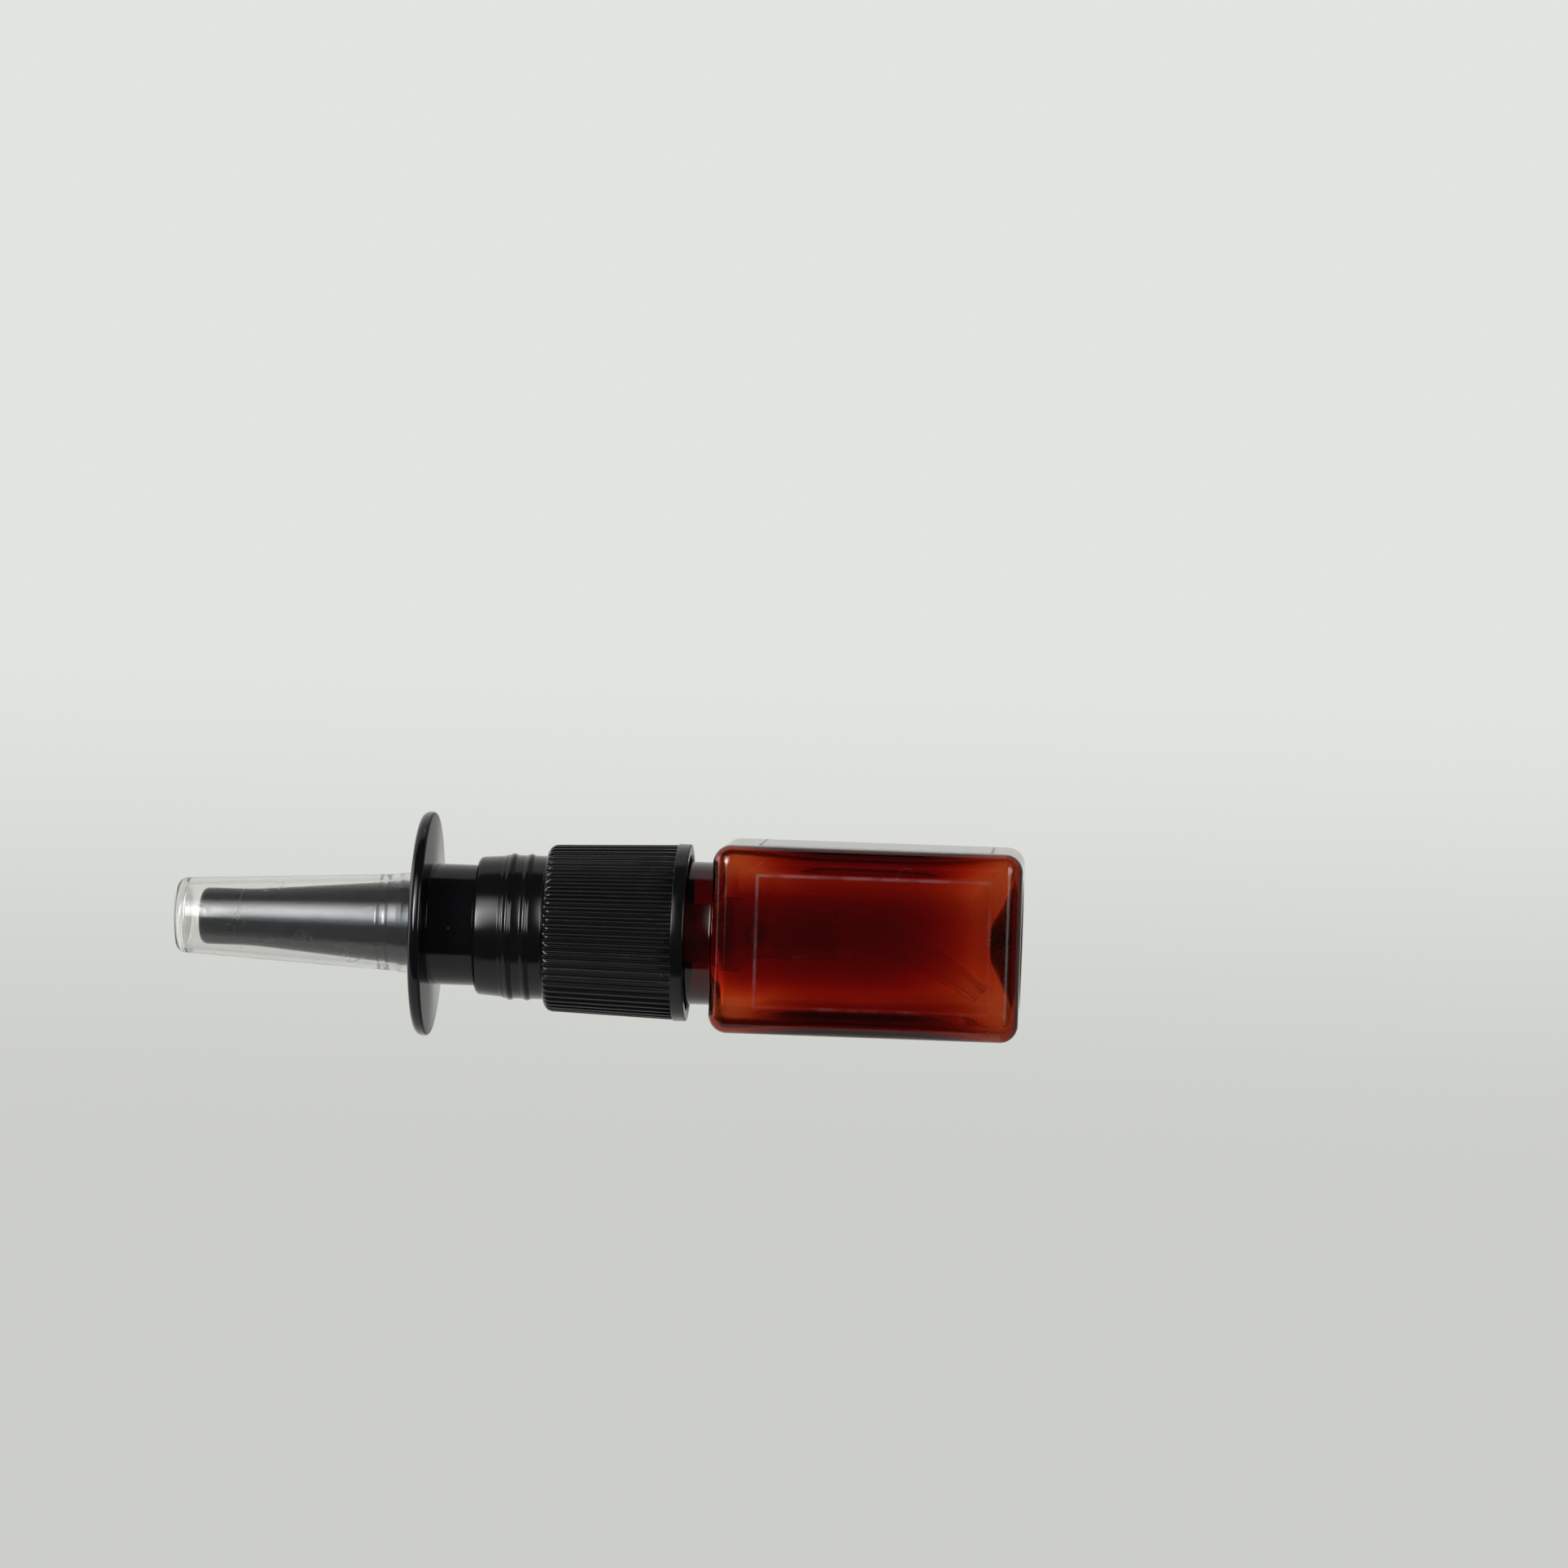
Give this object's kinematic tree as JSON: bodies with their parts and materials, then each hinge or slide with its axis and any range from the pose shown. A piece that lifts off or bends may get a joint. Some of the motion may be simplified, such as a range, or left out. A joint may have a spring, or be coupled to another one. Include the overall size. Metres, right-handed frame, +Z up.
{
  "type": "nasal spray bottle",
  "caption": "Square amber bottle with a ribbed screw closure, a finger-flange nasal spray pump and a clear pull-off dust cap.",
  "frame": {"origin": "middle of the face that the bottle stands on", "axes": "+Z up the bottle's axis towards the nozzle, X and Y square to the bottle's flat sides; the dip tube curls towards -X"},
  "size_m": [0.026, 0.026, 0.0979],
  "materials": {
    "amber_plastic": "clear amber blow-moulded plastic, glossy",
    "black_closure": "black moulded plastic, satin ribs and glossy turret",
    "black_gloss": "black moulded plastic, glossy",
    "clear_plastic": "clear, slightly milky moulded plastic",
    "natural_plastic": "uncoloured translucent plastic",
    "white_plastic": "white moulded plastic",
    "tube_plastic": "uncoloured extruded tube",
    "gasket_foam": "pale soft washer",
    "spring_steel": "drawn stainless wire",
    "ball_steel": "polished steel ball"
  },
  "bodies": {
    "bottle": {"bottle": "amber_plastic"},
    "pump": {"pump_housing": "natural_plastic", "neck_gasket": "gasket_foam", "locking_ring": "white_plastic", "return_spring": "spring_steel", "dip_tube": "tube_plastic"},
    "closure": {"screw_closure": "black_closure"},
    "actuator": {"actuator": "black_gloss", "swirl_core": "white_plastic", "stem": "white_plastic", "piston": "natural_plastic"},
    "ball": {"check_ball": "ball_steel"},
    "cap": {"dust_cap": "clear_plastic"}
  },
  "joints": [
    {"name": "pump_lift", "type": "slide", "parent": "bottle", "child": "pump", "axis": [0, 0, 1], "range_m": [0, 0.0048]},
    {"name": "closure_turn", "type": "hinge", "parent": "pump", "child": "closure", "pos_m": [0, 0, 0.046], "axis": [0, 0, 1], "range_deg": [0, 540]},
    {"name": "actuator_press", "type": "slide", "parent": "pump", "child": "actuator", "axis": [0, 0, -1], "range_m": [0, 0.0045], "stiffness_N_per_m": 1200, "springref_m": -0.004, "deforming": ["return_spring"]},
    {"name": "ball_lift", "type": "slide", "parent": "pump", "child": "ball", "axis": [0, 0, 1], "range_m": [0, 0.001]},
    {"name": "cap_pull", "type": "slide", "parent": "actuator", "child": "cap", "axis": [0, 0, 1], "range_m": [0, 0.032]}
  ],
  "couplings": [
    {"joint": "pump_lift", "follows": "closure_turn", "m_per_rad": 0.00050532}
  ]
}
